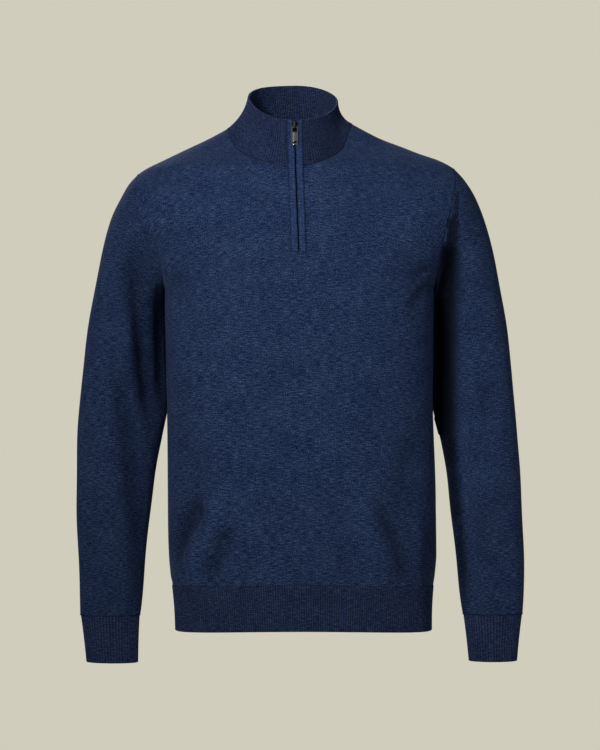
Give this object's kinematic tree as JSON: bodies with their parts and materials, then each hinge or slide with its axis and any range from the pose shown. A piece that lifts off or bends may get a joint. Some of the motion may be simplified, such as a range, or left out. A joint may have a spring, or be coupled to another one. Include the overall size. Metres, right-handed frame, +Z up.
{
  "type": "quarter zip sweater",
  "caption": "Fine-knit pullover filled out as worn, with a ribbed funnel collar, a quarter-length front zip with a hinged pull tab, and ribbed cuffs and hem.",
  "frame": {"origin": "middle of the neck base, where the wearer's neck and shoulders hold the garment up", "axes": "+Z up, -Y to the garment's front, +X to the wearer's left"},
  "size_m": [0.6139, 0.2262, 0.8023],
  "materials": {
    "knit": "fine heathered navy jersey knit, matt with a soft fuzz",
    "ribbed_knit": "fine heathered navy rib knit, matt",
    "placket_knit": "close navy facing knit, matt",
    "zip_tape": "woven navy tape",
    "zip_teeth": "dark metal teeth",
    "slider_bronze": "dark bronze plating, satin",
    "pull_steel": "polished nickel plating"
  },
  "bodies": {
    "garment": {"front": "knit", "back": "knit", "sleeve_right": "knit", "sleeve_left": "knit", "cuff_right": "ribbed_knit", "cuff_left": "ribbed_knit", "hem_front": "ribbed_knit", "hem_back": "ribbed_knit", "collar": "ribbed_knit", "placket_right": "placket_knit", "placket_left": "placket_knit", "zip_tape_right": "zip_tape", "zip_tape_left": "zip_tape", "zip_chain": "zip_teeth", "zip_slider": "slider_bronze"},
    "pull_tab": {"zip_pull": "pull_steel"}
  },
  "joints": [
    {"name": "pull_tab_hinge", "type": "hinge", "parent": "garment", "child": "pull_tab", "pos_m": [0.0012, -0.07399, -0.00556], "axis": [-1, 0, 0], "range_deg": [0, 160]}
  ]
}
